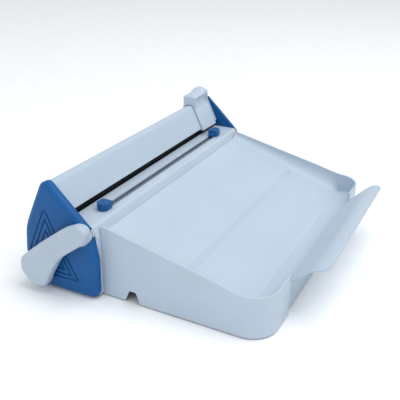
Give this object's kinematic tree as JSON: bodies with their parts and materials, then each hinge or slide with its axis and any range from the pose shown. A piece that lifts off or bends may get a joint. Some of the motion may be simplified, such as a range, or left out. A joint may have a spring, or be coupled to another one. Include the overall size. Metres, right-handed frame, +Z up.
{
  "type": "rotary paper trimmer",
  "caption": "Tabletop rotary paper trimmer: sliding blade head on a hollow beam, press bar with side lever, edge guides and a sloping catch tray.",
  "frame": {"origin": "under the centre of the whole object, on the surface that it stands on", "axes": "+X along the beam to the right, +Y from the tray to the back, +Z up"},
  "size_m": [0.457, 0.372, 0.1685],
  "materials": {
    "white_plastic": "cool white moulded plastic with a fine grain",
    "white_beam": "cool white powder coat on extruded aluminium",
    "white_lever": "cool white moulded plastic",
    "white_head": "cool white moulded plastic",
    "blue_plastic": "mid blue moulded plastic, fine grain",
    "blue_guide": "mid blue moulded plastic, satin",
    "sheet_steel": "zinc-plated folded sheet",
    "bright_steel": "turned and ground",
    "blade_steel": "ground and polished",
    "screw_steel": "zinc-plated",
    "rail_steel": "satin grey",
    "black_metal": "satin black paint",
    "black_rubber": "matt",
    "cutting_rubber": "matt, self-healing strip",
    "black_hub": "matt black",
    "brass_bush": "turned bronze"
  },
  "bodies": {
    "housing": {"front_tray": "white_plastic", "deck_cover": "white_plastic", "rear_housing": "white_plastic", "base_plate": "sheet_steel", "left_side_cover": "blue_plastic", "right_side_cover": "blue_plastic", "left_side_plate": "sheet_steel", "right_side_plate": "sheet_steel", "guide_beam": "white_beam", "beam_screws": "screw_steel", "cover_screws": "screw_steel", "cross_channel": "black_metal", "channel_screws": "screw_steel", "base_screws": "screw_steel", "strip_bed": "black_metal", "cutting_strip": "cutting_rubber", "bar_guide_pins": "bright_steel", "left_shaft_bush": "brass_bush", "right_shaft_bush": "brass_bush", "guide_rail": "rail_steel", "base_feet": "black_rubber", "tray_feet": "black_rubber", "tray_screws": "screw_steel"},
    "carriage": {"carriage_shell": "white_head", "blade_holder": "black_metal", "blade_axle": "bright_steel", "carriage_screws": "screw_steel"},
    "blade": {"blade_wheel": "blade_steel", "blade_hub": "black_hub"},
    "lever": {"lever_arm": "white_lever", "lever_shaft": "bright_steel", "lever_pin": "bright_steel", "shaft_ring": "bright_steel", "left_pinion": "bright_steel", "right_pinion": "bright_steel"},
    "press": {"press_bar": "black_metal", "press_pad": "black_rubber", "left_lift_rack": "bright_steel", "right_lift_rack": "bright_steel", "rack_screws": "screw_steel"},
    "left_guide": {"left_edge_guide": "blue_guide", "left_guide_foot": "black_hub"},
    "right_guide": {"right_edge_guide": "blue_guide", "right_guide_foot": "black_hub"}
  },
  "joints": [
    {"name": "carriage_slide", "type": "slide", "parent": "housing", "child": "carriage", "axis": [1, 0, 0], "range_m": [-0.348, 0]},
    {"name": "blade_spin", "type": "hinge", "parent": "carriage", "child": "blade", "pos_m": [0.1825, 0.14167, 0.11815], "axis": [0, 1, 0], "range_deg": [-1440, 0]},
    {"name": "lever_turn", "type": "hinge", "parent": "housing", "child": "lever", "pos_m": [0, 0.09237, 0.0885], "axis": [1, 0, 0], "range_deg": [0, 57.2]},
    {"name": "bar_lift", "type": "slide", "parent": "housing", "child": "press", "axis": [0, 0, 1], "range_m": [0, 0.005]},
    {"name": "left_guide_slide", "type": "slide", "parent": "housing", "child": "left_guide", "axis": [1, 0, 0], "range_m": [0, 0.13]},
    {"name": "right_guide_slide", "type": "slide", "parent": "housing", "child": "right_guide", "axis": [1, 0, 0], "range_m": [-0.13, 0]}
  ],
  "couplings": [
    {"joint": "bar_lift", "follows": "lever_turn", "m_per_rad": 0.005},
    {"joint": "blade_spin", "follows": "carriage_slide", "rad_per_m": 71.429}
  ]
}
